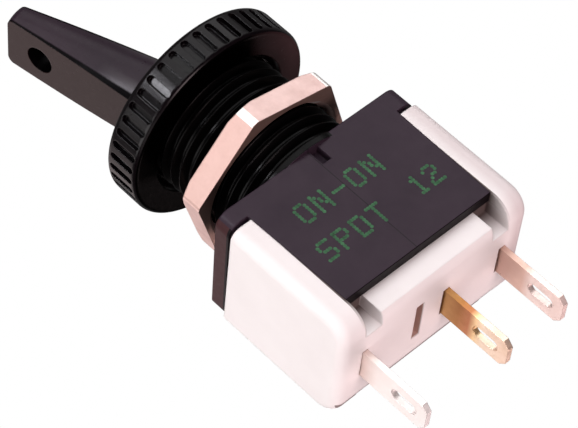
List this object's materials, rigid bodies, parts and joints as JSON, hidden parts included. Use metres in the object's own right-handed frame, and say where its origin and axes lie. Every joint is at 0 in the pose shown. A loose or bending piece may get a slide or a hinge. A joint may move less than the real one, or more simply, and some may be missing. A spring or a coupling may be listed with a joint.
{
  "type": "panel toggle switch",
  "caption": "Panel-mount changeover toggle switch: flat tapered lever in a threaded bushing with knurled ring nut and hex nut, two-tone case, solder tabs.",
  "frame": {"origin": "on the bushing's axis, at the face of the roof that the bushing stands on", "axes": "+Z out along the bushing to the lever, -Y the printed front, +X along the row of terminals; the lever leans to -X"},
  "size_m": [0.0194, 0.0176, 0.0474],
  "materials": {
    "black_moulding": "smooth",
    "white_moulding": "satin",
    "lever_moulding": "satin",
    "ring_moulding": "satin",
    "nylon": "satin",
    "seal_rubber": "matt",
    "steel": "ground",
    "spring_steel": "drawn",
    "plated_steel": "bright plating",
    "tinned_brass": "tinned",
    "bare_brass": "bare, stamped",
    "contact_alloy": "stamped",
    "contact_silver": "polished"
  },
  "bodies": {
    "housing": {"housing_cover": "black_moulding", "terminal_base": "white_moulding", "pin_retainer": "black_moulding", "lever_seal": "seal_rubber", "rocker_cradle": "contact_alloy", "cradle_rivet": "contact_alloy", "left_terminal": "tinned_brass", "common_terminal": "bare_brass", "right_terminal": "tinned_brass", "fixed_contact_left": "contact_silver", "fixed_contact_right": "contact_silver"},
    "lever": {"toggle_lever": "lever_moulding", "pivot_pin": "steel", "plunger_spring": "spring_steel"},
    "plunger": {"plunger": "nylon"},
    "rocker": {"rocker_blade": "contact_alloy", "moving_contact_left": "contact_silver", "moving_contact_right": "contact_silver"},
    "hex_nut": {"hex_nut": "plated_steel"},
    "ring_nut": {"ring_nut": "ring_moulding"}
  },
  "joints": [
    {"name": "lever_throw", "type": "hinge", "parent": "housing", "child": "lever", "pos_m": [0, 0, 0.006], "axis": [0, 1, 0], "range_deg": [0, 32.34]},
    {"name": "plunger_slide", "type": "slide", "parent": "lever", "child": "plunger", "axis": [-0.2785, 0, 0.9604], "range_m": [0, 0.001], "stiffness_N_per_m": 400, "springref_m": -0.003, "deforming": ["plunger_spring"]},
    {"name": "rocker_tip", "type": "hinge", "parent": "housing", "child": "rocker", "pos_m": [0, 0, -0.0082], "axis": [0, 1, 0], "range_deg": [-16, 0]},
    {"name": "hex_nut_travel", "type": "slide", "parent": "housing", "child": "hex_nut", "axis": [0, 0, 1], "range_m": [-0.0029, 0.002]},
    {"name": "ring_nut_travel", "type": "slide", "parent": "housing", "child": "ring_nut", "axis": [0, 0, 1], "range_m": [-0.002, 0.0024]}
  ],
  "couplings": [
    {"joint": "rocker_tip", "follows": "lever_throw", "ratio": -0.4947}
  ]
}
